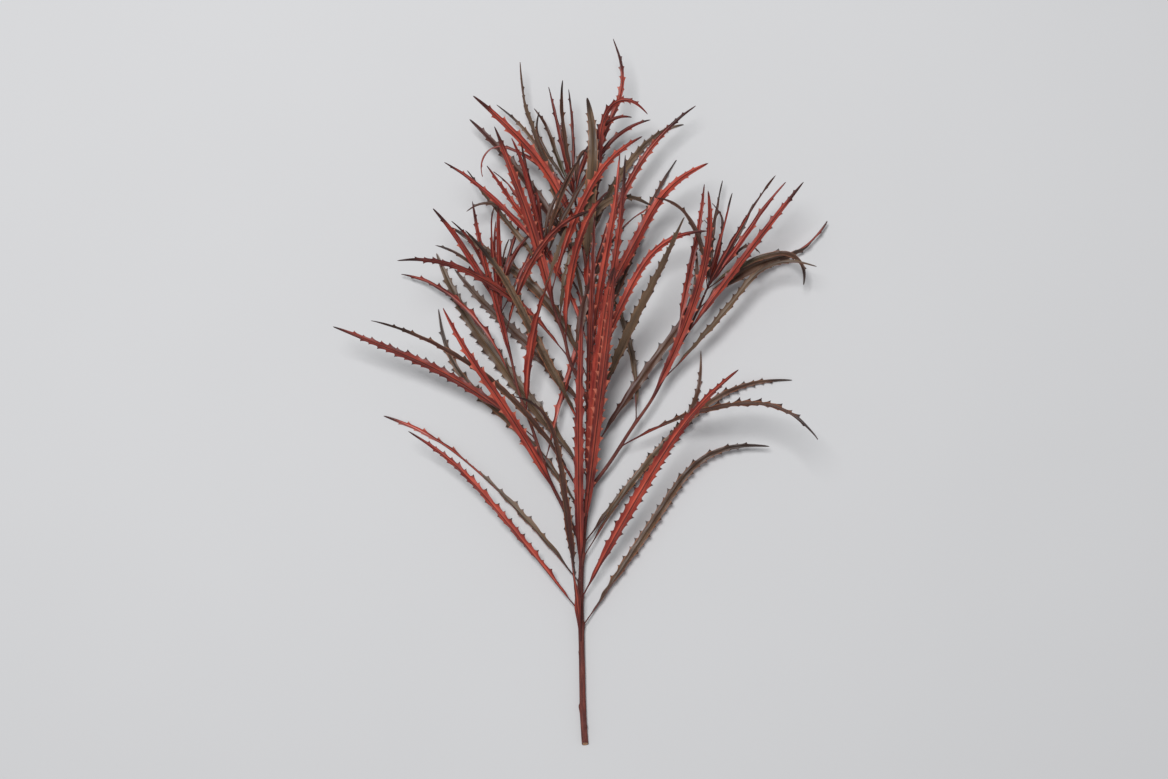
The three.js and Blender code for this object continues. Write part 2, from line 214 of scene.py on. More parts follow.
# The bark: low ribs that wind along a twig, as (height, how many, length for a radian, starts), and
# knots, both in shares of its radius and begun anywhere in RELIEF_START, in radians. Then the cushion
# under a leaf, the flare at a shoot's root, the scars of fallen leaves as (place, turn), and how soon
# the slant of the cut has gone. Patterns are PATTERN_STEP apart from one twig to the next.
BARK_RIBS = [(0.022, 5, 41, 1), (0.016, 3, -67, 2)]
BARK_KNOTS = {"height": 0.03, "pitch": 9.5, "count": 2, "wind": 23}
RELIEF_START = [0, 6]
CUSHION = {"low": 0.6, "tipward": 1.9, "footward": 6.5, "height": 0.3, "half_width": 1.7}
FLARE = {"height": 0.55, "full_from": 4, "from": 1, "reach": 5.5}
SCARS = [(0.035, 40), (0.07, -75), (0.1, 150), (0.132, 10), (0.168, -130)]
SLANT_REACH = 3
PATTERN_STEP = 97

# In metres: how near two points are merged, the rim of bark round the cut, and the wood's step inwards
# and down.
MERGE = 0.00001
CUT_RIM = 0.0004
CUT_STEP = [0.0002, -0.00015]

# The light, the floor and the camera, in metres but for the sensor, and the shape of the picture.
LIGHT_PLACE = (-0.55, 0.85, 3.75)
LIGHT_SIZE = 1.25
ROOM_COLOUR = (0.97, 0.98, 1.0, 1.0)
FLOOR_GAP = 0.0002
FLOOR_SHADE = 0.96
SENSOR_WIDTH = 36.0
SEEN_DEPTH = 50.0
PICTURE_SHAPE = 1168 / 779


def mix(low, high, share):
    return low + (high - low) * share


def ease(x, low, high):
    """A smooth step from 0, where x is low, to 1, where it is high."""
    share = np.clip((x - low) / (high - low), 0, 1)
    return share * share * (3 - 2 * share)


def unit(vector):
    return vector / np.linalg.norm(vector)


def lifted(height, floor):
    """Heights kept above the surface, softly."""
    above = (height - floor["height"]) / floor["softness"]
    return floor["height"] + floor["softness"] * np.logaddexp(0, above)


def draws_from(seed):
    """The small random generator that the solids were drawn with."""
    modulus = 2147483647
    multiplier = 48271
    state = seed % modulus

    def draw(low, high):
        nonlocal state
        state = state * multiplier % modulus
        return low + (high - low) * (state / modulus)

    draw(0, 1)
    draw(0, 1)
    return draw


class WoodyLine:
    """The centre line of the stem, a shoot or a bud."""

    def __init__(self, points, wave, radii):
        self.points = [np.array(point, float) for point in points]
        self.wave = wave
        self.radii = radii

    def point(self, t):
        a, b, c, d = self.points
        s = 1 - t
        place = s**3 * a + 3 * s * s * t * b + 3 * s * t * t * c + t**3 * d
        swell = self.wave * math.sin(math.pi * t)
        place[0] += swell * math.sin(WAVE_RUN["side"] * t)
        place[2] += WAVE_RUN["up_share"] * swell * math.sin(WAVE_RUN["up"] * t + WAVE_RUN["up_start"])
        return place

    def radius(self, t):
        return mix(*self.radii, t)

    def axes(self, t):
        step = 0.0001
        along = unit(self.point(min(1, t + step)) - self.point(max(0, t - step)))
        side = unit(np.cross(along, UP))
        return {"centre": self.point(t), "along": along, "side": side, "up": np.cross(side, along)}

    def length(self, pieces=200):
        points = np.array([self.point(k / pieces) for k in range(pieces + 1)])
        return float(np.linalg.norm(np.diff(points, axis=0), axis=1).sum())


def outward(axes, lean, around):
    """The direction that leans out from an axis by one angle, turned round it by another from the top."""
    out = math.sin(math.radians(lean))
    return (
        axes["along"] * math.cos(math.radians(lean))
        + axes["side"] * out * math.sin(math.radians(around))
        + axes["up"] * out * math.cos(math.radians(around))
    )


def shoot_line(stem, shoot):
    axes = stem.axes(shoot["at"])
    around = shoot["side"] * (90 - shoot["rise"])
    points = []
    for third in range(4):
        way = outward(axes, mix(*shoot["lean"], third / 3), around)
        points.append(axes["centre"] + way * shoot["length"] * third / 3)
    return WoodyLine(points, SHOOT_WAVE, SHOOT_RADII)


def bud_line(line):
    axes = line.axes(1)
    points = [axes["centre"] + axes["along"] * (BUD_CLEAR + BUD_LENGTH * third / 3) for third in range(4)]
    return WoodyLine(points, 0, [line.radius(1), BUD_TIP_RADIUS])


def draw_leaf(line, foliage, k, turn, draw, attempt):
    """Leaf k of an axis, from the same draws in the same order as its solid."""
    share = k / (foliage["count"] - 1)

    def along(name):
        return mix(*foliage[name], share ** SHARE_POWER.get(name, 1))

    stray = TURN_STRAY + attempt
    natural = (turn + draw(-stray, stray) + 180) % 360 - 180
    tilt = abs(natural)
    pressed = mix(*PRESS, (tilt - PRESS[0]) / (180 - PRESS[0]))
    around = math.copysign(tilt if tilt < PRESS[0] else pressed, natural)
    tuck = 1 - SKYWARD_TUCK * max(0, math.cos(math.radians(around))) ** 2
    length = along("length") * draw(*LENGTH_STRAY)
    broad = BROAD if draw(0, 1) < foliage["broad"] else 1
    lean = (along("lean") + draw(-foliage["stray"], foliage["stray"] + RETRY_LEAN * attempt)) * tuck
    bend = draw(*BEND) * tuck
    hook = draw(0, 1)
    curl = draw(-1, 1) * (CURL["small"] if hook < CURL["small_share"] else CURL["large"])
    curl += CURL["hooked"] if hook > 1 - CURL["hooked_share"] else 0
    red_up = (abs(around) < FACING_SIDE) == (draw(0, 1) < FACING_SHARE)
    leaf = {
        "line": line, "foliage": foliage, "length": length, "around": around, "lean": lean,
        "bend": bend, "curl": curl,
        "at": mix(foliage["from"], foliage["to"], share ** SHARE_POWER["at"]),
        "face_up": 1 if red_up else -1,
    }
    leaf["sweep"] = draw(-SWEEP, SWEEP)
    leaf["half_width"] = along("half_width") * draw(*WIDTH_STRAY) * broad
    leaf["flatness"] = draw(*FLATNESS)
    leaf["twist"] = draw(-TWIST["usual"], TWIST["usual"])
    leaf["twist"] += TWIST["turned"] if draw(0, 1) < TWIST["turned_share"] else 0
    leaf["fold"] = draw(*FOLD)
    span = length * (TEETH["to"] - TEETH["from"])
    leaf["teeth"] = max(2, math.floor(span / draw(*foliage["tooth_pitch"]) + 0.5))
    leaf["tooth_height"] = along("tooth_height") * draw(*TOOTH_STRAY)
    leaf["shift"] = draw(*TOOTH_SHIFT)
    return leaf


def grow_rib(leaf):
    """The midrib's points, with the blade's sideways direction and the way its upper side faces at each."""
    axes = leaf["line"].axes(leaf["at"])
    clear = leaf["line"].radius(leaf["at"]) * (1 - leaf["foliage"]["sunk"]) + leaf["foliage"]["clear"]
    point = axes["centre"] + outward(axes, 90, leaf["around"]) * clear
    points = []
    for step in range(RIB_STEPS + 1):
        u = step / RIB_STEPS
        points.append([point[0], point[1], lifted(point[2], RIB_FLOOR)])
        curl = leaf["curl"] * ease(u, CURL["from"], 1)
        lean = leaf["lean"] + leaf["bend"] * u**BEND_POWER + curl
        point = point + outward(axes, lean, leaf["around"] + leaf["sweep"] * u) * leaf["length"] / RIB_STEPS
    points = np.array(points)

    sideways, facing = [], []
    across, turn = None, 0
    for step in range(RIB_STEPS + 1):
        u = step / RIB_STEPS
        along = unit(points[min(RIB_STEPS, step + 1)] - points[max(0, step - 1)])
        across = np.cross(axes["along"], along) if across is None else across
        across = unit(across - along * across.dot(along))
        square = np.cross(along, across)
        flat = np.cross(along, UP) * leaf["face_up"]
        wanted = math.atan2(flat.dot(square), flat.dot(across))
        turn = wanted + 2 * math.pi * math.floor((turn - wanted) / (2 * math.pi) + 0.5)
        twist = math.radians(leaf["twist"]) * u**TWIST_POWER
        roll = turn * leaf["flatness"] * ease(u, 0, FLAT_FROM) + twist
        sideways.append(across * math.cos(roll) + square * math.sin(roll))
        facing.append(np.cross(along, sideways[-1]))
    return {"point": points, "sideways": np.array(sideways), "facing": np.array(facing), "axes": axes}


def tip_corners(leaf, stations):
    """The two vertices of the solid at the leaf's tip."""
    middle = stations["point"][-1].copy()
    middle[2] = lifted(middle[2], BLADE_FLOOR)
    half = stations["facing"][-1] * SOLID_BLADE / 2 / math.cos(math.radians(leaf["fold"]))
    return middle + half, middle - half


def half_width(leaf, u):
    blade = np.sin(np.pi * np.clip(u, 0, 1) ** WIDTH_PEAK) ** WIDTH_FULLNESS * ease(u, 0, STALK_SHARE)
    return leaf["half_width"] * blade + leaf["foliage"]["stalk"] * (1 - u)


def tooth_height(leaf, u):
    fall = 1 - TEETH["fall"] * ease(u, TEETH["fall_from"], 1)
    return leaf["tooth_height"] * ease(u, *TEETH["rise"]) * fall


def tooth_places(leaf, side):
    """Where along the leaf the solid's teeth have their points, on one side."""
    shift = leaf["shift"] if side > 0 else (leaf["shift"] + 0.5) % 1
    shares = (np.arange(leaf["teeth"]) + shift) / leaf["teeth"]
    return mix(TEETH["from"], TEETH["to"], shares ** TEETH["crowding"])


def ring_points(axes, angle, radius, slant):
    """Points round an axis, set along it by a share of how high they are."""
    aside = (np.cos(angle) * radius)[:, None]
    rise = (np.sin(angle) * radius)[:, None]
    return axes["centre"] + axes["side"] * aside + axes["up"] * rise + axes["along"] * (slant * rise)


def solid_rings(line, rings, sides, slant=0):
    """The corners of a twig's solid."""
    angle = 2 * math.pi * np.arange(sides) / sides
    points = []
    for ring in range(rings + 1):
        t = ring / rings
        points.append(ring_points(line.axes(t), angle, line.radius(t), 0 if ring else slant))
    return np.vstack(points)


def read_rows(entries, field):
    """The three numbers that a mesh holds for each of its points, as rows."""
    values = np.empty(len(entries) * 3)
    entries.foreach_get(field, values)
    return values.reshape(-1, 3)


def node_points(name):
    """The vertices of a solid in the frame, in millimetres."""
    return read_rows(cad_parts[name].data.vertices, "co") / MM


STEM = WoodyLine(STEM_LINE, STEM_WAVE, STEM_RADII)
SHOOT_LINES = [shoot_line(STEM, shoot) for shoot in SHOOTS]
WOODY_CORNERS = np.vstack(
    [solid_rings(STEM, STEM_RINGS, STEM_SIDES, CUT_SLANT)]
    + [solid_rings(line, SHOOT_RINGS, SHOOT_SIDES) for line in SHOOT_LINES]
)
# Where the plant's own zero lies in the frame.
PLANT_PLACE = np.array(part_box("stem")[0]) / MM - WOODY_CORNERS.min(axis=0)


def kept_leaf(line, foliage, k, turn, number, solid):
    """The draw of a leaf that its solid was grown from, found by its tip, with its midrib."""
    for attempt in range(TRIES):
        draw = draws_from(LEAF_SEED * (number + 1) + RETRY_SEED * attempt)
        leaf = draw_leaf(line, foliage, k, turn, draw, attempt)
        stations = grow_rib(leaf)
        corners = [corner + PLANT_PLACE for corner in tip_corners(leaf, stations)]
        if all(np.linalg.norm(solid - corner, axis=1).min() < MATCH for corner in corners):
            leaf["number"] = number
            return leaf, stations
    raise RuntimeError(f"leaf {number} matches none of the packed solids")


def smooth_track(values, places):
    """A smooth curve through evenly spaced values, read at places from 0 to 1."""
    steps = len(values) - 1
    place = np.clip(places, 0, 1) * steps
    low = np.minimum(place.astype(int), steps - 1)
    share = (place - low)[..., None]
    ends = np.vstack([2 * values[:1] - values[1:2], values, 2 * values[-1:] - values[-2:-1]])
    a, b, c, d = (ends[low + k] for k in range(4))
    return 0.5 * (
        2 * b + (c - a) * share + (2 * a - 5 * b + 4 * c - d) * share**2
        + (3 * b - a - 3 * c + d) * share**3
    )


def mirrored(half, sign):
    """The values of a half blade, from midrib to margin, as those of a whole blade across."""
    return np.array([*half[::-1], *(sign * value for value in half[1:])], float)


def teeth_of(leaf, side, looks, small_teeth):
    """The place and height of each tooth on one side, with small ones between the solid's."""
    teeth = []
    previous = TEETH["from"] / 2
    for place in tooth_places(leaf, side):
        if looks.random() < small_teeth:
            between = previous + (place - previous) * looks.uniform(*SMALL_TOOTH_PLACE)
            teeth.append((between, tooth_height(leaf, between) * looks.uniform(*SMALL_TOOTH_SIZE)))
        teeth.append((place, tooth_height(leaf, place) * TOOTH_POINT))
        previous = place
    return teeth


def edge_outline(leaf, rows, teeth):
    """One margin as its place along and how far its teeth stand out, for each row of the blade."""
    ends, along, offsets = [0], [0.0], [0.0]
    for place, height in teeth:
        saw = ease(place, *SAW_FROM)
        for past, share in mix(THORN, SAW, saw):
            at = place + past * height / leaf["length"]
            row = max(ends[-1] + 1, round(at * rows))
            if at > along[-1] and row < rows:
                ends.append(row)
                along.append(at)
                offsets.append(share * height)
    every = np.arange(rows + 1)
    ends.append(rows)
    return np.interp(every, ends, along + [1.0]), np.interp(every, ends, offsets + [0.0])


def toothed_rows(leaf, shares, young, looks, sizes):
    """For each point of the blade its place along the leaf, and how far its tooth stands out there."""
    rows = round(leaf["length"] / (sizes.row_pitch / MM * (YOUNG_PITCH if young else 1)))
    small_teeth = 0
    if not young:
        many = looks.random() < 1 - FEW_TEETH["leaves"]
        small_teeth = sizes.small_tooth_share * (1 if many else FEW_TEETH["left"])
    edges = {}
    for side in (1, -1):
        edges[side] = edge_outline(leaf, rows, teeth_of(leaf, side, looks, small_teeth))
    middle = np.linspace(0, 1, rows + 1)
    u = np.empty((rows + 1, len(shares)))
    stand = np.zeros_like(u)
    for column, share in enumerate(shares):
        edge, offset = edges[1 if share > 0 else -1]
        u[:, column] = middle + (edge - middle) * abs(share) ** ROW_BEND_POWER
        if abs(share) == 1:
            stand[:, column] = offset
    return u, stand


def margin_waves(run, shares, looks):
    """How each margin waves up and down, from -1 to 1, and less towards the midrib."""
    waves = np.zeros_like(run)
    for side in (1, -1):
        pitch = looks.uniform(*MARGIN_WAVE["pitch"])
        start = looks.uniform(0, 2 * math.pi)
        slip = MARGIN_WAVE["slip"] * np.sin(run / MARGIN_WAVE["slip_run"] + start)
        ripple = np.sin(2 * math.pi * run / pitch + start + slip)
        waves += np.where(shares * side > 0, ripple * shares**2, 0)
    return waves


def round_stalk(shares, sizes):
    """How thick the stalk is across its width."""
    return np.sqrt(1 - STALK_FLAT * shares**2) * sizes.stalk_thickness / MM


def blade_rows(leaf, stations, young, shares, looks, sizes):
    """The blade from its first row to its tip."""
    ribs = mirrored(YOUNG_RIB_SHARES if young else RIB_SHARES, 1)
    away = np.abs(shares)
    u, stand = toothed_rows(leaf, shares, young, looks, sizes)
    run = u * leaf["length"]
    half = half_width(leaf, u)
    across = shares * half + np.sign(shares) * stand

    blade = sizes.blade_thickness / MM
    rib_room = np.maximum(ribs, 0) * mix(1, RIB_LEFT_AT_TIP, u)
    thickness = blade + (sizes.rib_thickness / MM - blade) * rib_room + blade * np.minimum(ribs, 0)
    stalk_share = 1 - ease(u, *STALK_END)
    thickness = mix(thickness, round_stalk(shares, sizes), stalk_share)

    arch = sizes.arch * half * np.sin(math.pi * away)
    rolled = ease(away, ROLL["from"], 1) * np.minimum(half / ROLL["full_width"], 1)
    fade = 1 - WAVE_FADE["share"] * ease(u, WAVE_FADE["from"], 1)
    waves = sizes.wave_height / MM * margin_waves(run, shares, looks) * fade
    sink = (thickness - blade) / 2 * np.maximum(ribs, 0) + GROOVE * (ribs == 1)
    height = arch - sizes.margin_roll / MM * rolled + waves - sink * (1 - stalk_share)
    height = height * ease(u, 0, FULL_FROM)

    fold = math.radians(leaf["fold"]) * ease(u, 0, FOLD_FROM)
    points = (
        smooth_track(stations["point"], u)
        + smooth_track(stations["sideways"], u) * (across * np.cos(fold))[..., None]
        + smooth_track(stations["facing"], u) * (np.abs(across) * np.sin(fold) + height)[..., None]
    )
    points[..., 2] = lifted(points[..., 2], BLADE_FLOOR)
    return {
        "points": points, "thickness": thickness, "run": run, "across": across, "share": u,
        "edge": np.abs(across) / half, "tooth": stand / leaf["tooth_height"],
    }


def base_rows(leaf, stations, shares, sizes):
    """The stalk's base, from inside the bark up to the blade's first row."""
    axes = stations["axes"]
    stalk = leaf["foliage"]["stalk"]
    depth = leaf["line"].radius(leaf["at"]) * (1 - leaf["foliage"]["sunk"] - BASE_DEPTH)
    reach = 2 * stalk * BASE_REACH
    root = axes["centre"] + outward(axes, 90, leaf["around"]) * depth - axes["along"] * reach
    back = np.linspace(1, 1 / BASE_ROWS, BASE_ROWS)[:, None]
    belly = back * (1 - back)
    first, second = stations["point"][:2]
    centre = first + (root - first) * back[..., None] - (second - first) * (BASE_BOW * belly)[..., None]
    across = shares * (stalk * (1 + BASE_SWELL["width"] * belly))
    run = -back * reach * np.ones_like(across)
    return {
        "points": centre + stations["sideways"][0] * across[..., None],
        "thickness": round_stalk(shares, sizes) * (1 + BASE_SWELL["thickness"] * back),
        "run": run, "across": across, "share": run / leaf["length"],
        "edge": np.broadcast_to(np.abs(shares), across.shape), "tooth": np.zeros_like(across),
    }


def leaf_sheet(leaf, stations, young, sizes):
    """The fine leaf as rows and columns of points, with what its thickness and finish need."""
    looks = np.random.default_rng(leaf["number"])
    shares = mirrored(YOUNG_COLUMNS if young else COLUMNS, -1)
    blade = blade_rows(leaf, stations, young, shares, looks, sizes)
    base = base_rows(leaf, stations, shares, sizes)
    sheet = {name: np.vstack([base[name], blade[name]]) for name in blade}
    # How dark the leaf is: partly its deeper dye, partly painted shade for leaves shading one another.
    dye_and_shade = looks.beta(DYE_AND_SHADE_SPREAD, DYE_AND_SHADE_SPREAD)
    age = looks.random()
    seed = looks.random()
    return {
        "points": sheet["points"] + PLANT_PLACE,
        "thickness": sheet["thickness"],
        "leaf_place": np.dstack([sheet["run"], sheet["across"], sheet["share"]]),
        "leaf_edge": sheet["edge"],
        "leaf_tooth": sheet["tooth"],
        "leaf_tint": np.broadcast_to([dye_and_shade, age, seed], (*sheet["edge"].shape, 3)),
    }


def select_only(*pieces):
    bpy.ops.object.select_all(action="DESELECT")
    for piece in pieces:
        piece.select_set(True)
    bpy.context.view_layer.objects.active = pieces[0]


def shade_smooth(piece, degrees):
    select_only(piece)
    bpy.ops.object.shade_smooth_by_angle(angle=math.radians(degrees))


def grid_piece(name, points):
    """A grid whose rows and columns of points take the given places, in millimetres."""
    rows, columns = points.shape[:2]
    bpy.ops.object.select_all(action="DESELECT")
    bpy.ops.mesh.primitive_grid_add(x_subdivisions=columns - 1, y_subdivisions=rows - 1, size=1)
    piece = bpy.context.object
    piece.name = name
    if len(piece.data.vertices) != rows * columns:
        raise RuntimeError(f"{name}: the grid has {len(piece.data.vertices)} points, not {rows * columns}")
    piece.data.vertices.foreach_set("co", (points * MM).astype(np.float32).ravel())
    piece.data.update()
    return piece


def write_attribute(piece, name, values):
    """One number, or three, for each point of a grid."""
    kind, field = ("FLOAT_VECTOR", "vector") if values.ndim == 3 else ("FLOAT", "value")
    attribute = piece.data.attributes.new(name, kind, "POINT")
    attribute.data.foreach_set(field, np.ascontiguousarray(values, np.float32).ravel())


def add_leaf(name, leaf, stations, young, sizes):
    """A leaf: a grid on its middle surface, thickened, with its upper side's finish and its lower side's."""
    sheet = leaf_sheet(leaf, stations, young, sizes)
    piece = grid_piece(name, sheet["points"])
    for attribute in ("leaf_place", "leaf_edge", "leaf_tooth", "leaf_tint"):
        write_attribute(piece, attribute, sheet[attribute])
    thickest = float(sheet["thickness"].max())
    group = piece.vertex_groups.new(name="thickness")
    for vertex, weight in enumerate((sheet["thickness"] / thickest).ravel()):
        group.add([vertex], float(weight), "REPLACE")
    for finish in leaf_finishes(young):
        piece.data.materials.append(finish)
    solidify = piece.modifiers.new("Blade", "SOLIDIFY")
    solidify.thickness = thickest * MM
    solidify.offset = 0
    solidify.vertex_group = "thickness"
    solidify.material_offset = 1
    solidify.material_offset_rim = 1
    select_only(piece)
    bpy.ops.object.modifier_apply(modifier=solidify.name)
    piece.vertex_groups.clear()
    shade_smooth(piece, 50)
    return piece


def bark_radius(line, t, angle, length, cushions, start, flare):
    """How far the bark stands from the centre line: ribs, leaf cushions and the flare at a shoot's root."""
    radius = line.radius(t)
    run = t * length
    ribs = sum(
        height * np.sin(count * angle + starts * start + run / wind)
        for height, count, wind, starts in BARK_RIBS
    )
    knots = BARK_KNOTS["height"] * np.sin(run / BARK_KNOTS["pitch"] + start)
    knots = knots * np.sin(BARK_KNOTS["count"] * angle + run / BARK_KNOTS["wind"])
    total = radius * (1 + ribs + knots)
    for at, around in cushions:
        off = (angle - math.radians(90 - around) + math.pi) % (2 * math.pi) - math.pi
        ahead = (t - at) * length + CUSHION["low"]
        reach = CUSHION["tipward"] if ahead > 0 else CUSHION["footward"]
        size = CUSHION["height"] * (radius + 1)
        total = total + size * np.exp(-((ahead / reach) ** 2) - (off * radius / CUSHION["half_width"]) ** 2)
    fall = math.exp(-max(run - FLARE["from"], 0) / FLARE["reach"])
    return total * (1 + flare * ease(run, 0, FLARE["full_from"]) * fall)


def add_twig(name, line, cushions, seed, start=0.0, flare=0.0, slant=0.0, pitch=1.7, sides=20):
    """A closed round twig: a grid rolled round its line and stitched, with its ends filled."""
    length = line.length()
    rings = round(length / pitch)
    relief_start = np.random.default_rng(seed).uniform(*RELIEF_START)
    points = np.empty((rings + 1, sides + 1, 3))
    straight = np.empty_like(points)
    angle = 2 * math.pi * np.arange(sides + 1) / sides
    angle[-1] = 0
    for ring in range(rings + 1):
        t = mix(start, 1, ring / rings)
        radius = bark_radius(line, t, angle, length, cushions, relief_start, flare)
        slant_left = slant * math.exp(-ring * pitch / SLANT_REACH)
        points[ring] = ring_points(line.axes(t), angle, radius, slant_left)
        run = np.full(sides + 1, t * length + PATTERN_STEP * seed)
        straight[ring] = np.column_stack([np.cos(angle) * radius, np.sin(angle) * radius, run])
    piece = grid_piece(name, points + PLANT_PLACE)
    write_attribute(piece, "bark_place", straight)
    select_only(piece)
    bpy.ops.object.mode_set(mode="EDIT")
    bpy.ops.mesh.select_all(action="SELECT")
    bpy.ops.mesh.remove_doubles(threshold=MERGE)
    bpy.ops.mesh.fill_holes(sides=0)
    bpy.ops.mesh.select_all(action="SELECT")
    bpy.ops.mesh.normals_make_consistent(inside=False)
    bpy.ops.object.mode_set(mode="OBJECT")
    return piece


def read_bark(twig):
    """A twig's points and their places on its bark."""
    places = twig.data.attributes["bark_place"].data
    return read_rows(twig.data.vertices, "co"), read_rows(places, "vector")


def restore_bark(stem, twigs):
    """Gives each point of the joined stem its place on the bark of the twig it came from."""
    points, places = (np.vstack(parts) for parts in zip(*twigs))
    tree = KDTree(len(points))
    for index, point in enumerate(points):
        tree.insert(point, index)
    tree.balance()
    nearest = [tree.find(vertex.co)[1] for vertex in stem.data.vertices]
    restored = places[nearest].astype(np.float32)
    stem.data.attributes["bark_place"].data.foreach_set("vector", restored.ravel())


def tone(red, green, blue):
    """A colour as a picture program gives it, from 0 to 255, as the linear one that a shader reads."""
    def linear(value):
        value = value / 255
        return value / 12.92 if value <= 0.04045 else ((value + 0.055) / 1.055) ** 2.4
    return (linear(red), linear(green), linear(blue), 1.0)


class Nodes:
    """The nodes of a material or of a node group, linked as they are added."""

    def __init__(self, tree):
        self.tree = tree

    def give(self, value, socket):
        """Links a node's output to a socket, or sets a plain value there."""
        if isinstance(value, bpy.types.NodeSocket):
            self.tree.links.new(value, socket)
        else:
            socket.default_value = value

    def add(self, kind, inputs=None, **settings):
        node = self.tree.nodes.new(kind)
        for name, value in settings.items():
            setattr(node, name, value)
        for socket, value in (inputs or {}).items():
            self.give(value, node.inputs[socket])
        return node

    def read(self, attribute, output="Vector"):
        """What the mesh says of each point."""
        return self.add("ShaderNodeAttribute", attribute_name=attribute).outputs[output]

    def parts(self, place):
        """The three numbers of a place."""
        return self.add("ShaderNodeSeparateXYZ", {0: place}).outputs

    def place(self, *parts):
        """A place from its three numbers."""
        return self.add("ShaderNodeCombineXYZ", dict(enumerate(parts))).outputs[0]

    def scaled(self, place, factors):
        return self.add("ShaderNodeVectorMath", {0: place, 1: factors}, operation="MULTIPLY").outputs[0]

    def maths(self, operation, first, second):
        return self.add("ShaderNodeMath", {0: first, 1: second}, operation=operation).outputs[0]

    def both(self, first, *others):
        """Masks multiplied with each other."""
        for other in others:
            first = self.maths("MULTIPLY", first, other)
        return first

    def ramp(self, value, low, high, to_low=0.0, to_high=1.0):
        """Value eased from to_low, at low, to to_high, at high."""
        ends = {"Value": value, "From Min": low, "From Max": high, "To Min": to_low, "To Max": to_high}
        return self.add("ShaderNodeMapRange", ends, interpolation_type="SMOOTHSTEP").outputs["Result"]

    def blend(self, factor, first, second):
        """Colour first, with colour second over it where factor is 1."""
        return self.add("ShaderNodeMix", {0: factor, 6: first, 7: second}, data_type="RGBA").outputs[2]

    def noise(self, place, **inputs):
        return self.add("ShaderNodeTexNoise", {"Vector": place, **inputs}).outputs["Fac"]

    def stretched(self, place, length, operation, width):
        """A place on a leaf or twig, for a pattern that is longer than it is wide."""
        along, across, depth = self.parts(place)
        sides = [self.maths(operation, side, width) for side in (across, depth)]
        return self.place(self.maths("DIVIDE", along, length), *sides)


def lengthwise_lines(nodes, given):
    """Fine lines that run along a leaf or a twig."""
    place = nodes.stretched(given["Place"], given["Line length"], "MULTIPLY", given["Lines each mm"])
    fine = nodes.noise(place, Scale=1.0, Detail=3.0, Roughness=0.6)
    return {"Lines": nodes.ramp(fine, 0.36, 0.66)}


def uneven_dye(nodes, given):
    """Patches where the dye took more or less, longer than they are wide."""
    place = nodes.stretched(given["Place"], given["Patch length"], "DIVIDE", given["Patch width"])
    cloud = nodes.noise(place, Scale=1.0, Detail=4.0, Roughness=0.55, Distortion=0.3)
    return {"Patches": nodes.ramp(cloud, 0.3, 0.7)}


def dry_flecks(nodes, given):
    """Small scattered flecks, about twice as long as they are wide."""
    place = nodes.scaled(given["Place"], (0.45, 1.0, 1.0))
    scale = nodes.maths("DIVIDE", 1.0, given["Size"])
    grain = nodes.noise(place, Scale=scale, Detail=2.0, Roughness=0.7)
    edge = nodes.maths("SUBTRACT", 0.74, nodes.both(given["Cover"], 0.3))
    return {"Flecks": nodes.ramp(nodes.maths("SUBTRACT", grain, edge), 0.0, 0.05)}


def dark_ends(nodes, given):
    """Where a leaf is darker: at its tip, at the points of its teeth and at its stalk."""
    tip_from = nodes.ramp(given["Age"], 0.0, 1.0, 0.98, 0.8)
    tip = nodes.ramp(nodes.maths("SUBTRACT", given["Share"], tip_from), 0.0, 0.07)
    dark_pointed = nodes.ramp(given["Seed"], 0.35, 0.5, 0.15, 0.95)
    return {
        "Tip": nodes.both(tip, 0.8),
        "Points": nodes.both(nodes.ramp(given["Tooth"], 0.34, 0.64), dark_pointed),
        "Stalk": nodes.both(nodes.ramp(given["Share"], 0.14, 0.01), 0.75),
    }


def vein_relief(nodes, given):
    """How high a leaf's fine lines and its midrib stand."""
    rib = nodes.ramp(given["Edge"], 0.1, 0.0)
    return {"Height": nodes.maths("ADD", nodes.both(given["Lines"], 0.7), nodes.both(rib, 0.6))}


# The shared node groups: what makes each, and its inputs with their defaults, or None for a place.
EFFECTS = {
    "lengthwise lines": (lengthwise_lines, {"Place": None, "Lines each mm": 2.0, "Line length": 30.0}),
    "uneven dye": (uneven_dye, {"Place": None, "Patch length": 30.0, "Patch width": 5.0}),
    "dry flecks": (dry_flecks, {"Place": None, "Size": 2.0, "Cover": 0.2}),
    "dark ends": (dark_ends, {"Share": 0.5, "Tooth": 0.0, "Age": 0.5, "Seed": 0.5}),
    "vein relief": (vein_relief, {"Lines": 0.0, "Edge": 1.0}),
}


def effect_group(name):
    """A shared node group, made the first time with its named inputs and outputs."""
    if name in bpy.data.node_groups:
        return bpy.data.node_groups[name]
    make, inputs = EFFECTS[name]
    tree = bpy.data.node_groups.new(name, "ShaderNodeTree")
    for label, default in inputs.items():
        kind = "NodeSocketVector" if default is None else "NodeSocketFloat"
        socket = tree.interface.new_socket(label, in_out="INPUT", socket_type=kind)
        if default is not None:
            socket.default_value = default
    made = make(Nodes(tree), tree.nodes.new("NodeGroupInput").outputs)
    for label in made:
        tree.interface.new_socket(label, in_out="OUTPUT", socket_type="NodeSocketFloat")
    out = tree.nodes.new("NodeGroupOutput").inputs
    for label, value in made.items():
        tree.links.new(value, out[label])
    return tree


